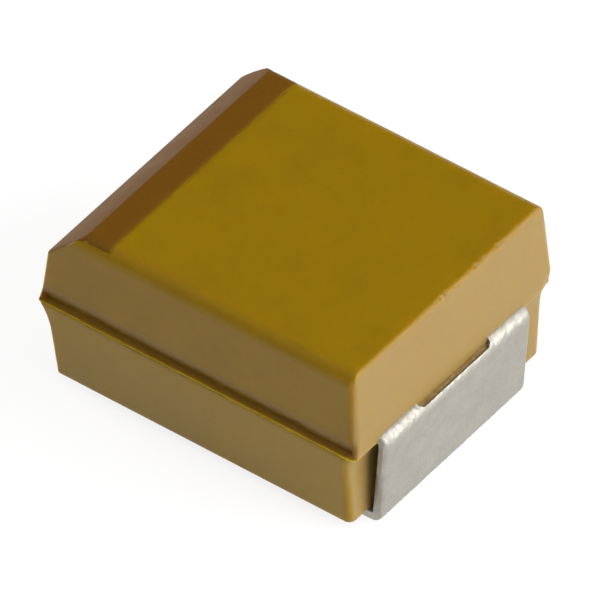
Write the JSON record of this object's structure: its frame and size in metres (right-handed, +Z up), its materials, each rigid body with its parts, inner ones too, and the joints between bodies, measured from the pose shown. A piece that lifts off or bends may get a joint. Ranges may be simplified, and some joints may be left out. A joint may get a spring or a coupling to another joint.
{
  "type": "tantalum chip capacitor",
  "caption": "Moulded gold epoxy chip capacitor with a bevelled, brown banded anode end, tin-plated terminals folded under both ends and the coated tantalum element inside.",
  "frame": {"origin": "centre of the footprint, on the plane of the board that the two solder feet stand on", "axes": "+X towards the cathode end, -X towards the anode end with its bevel and brown band, +Z up from the board"},
  "size_m": [0.0036, 0.0028, 0.0019],
  "materials": {
    "epoxy": "moulded gold epoxy, semi-matt",
    "band_ink": "brown print, semi-matt",
    "tin_plate": "matt tin plate",
    "tantalum_sinter": "sintered",
    "manganese_dioxide": "matt black",
    "graphite": "satin graphite",
    "silver_paint": "silver-filled, satin",
    "tantalum_wire": "drawn wire",
    "washer_plastic": "white fluoropolymer"
  },
  "bodies": {
    "root": {"moulded_case": "epoxy", "polarity_band": "band_ink", "cathode_terminal": "tin_plate", "anode_terminal": "tin_plate", "tantalum_pellet": "tantalum_sinter", "manganese_dioxide_layer": "manganese_dioxide", "carbon_coat": "graphite", "silver_coat": "silver_paint", "riser_wire": "tantalum_wire", "insulating_washer": "washer_plastic", "silver_adhesive": "silver_paint"}
  },
  "joints": []
}
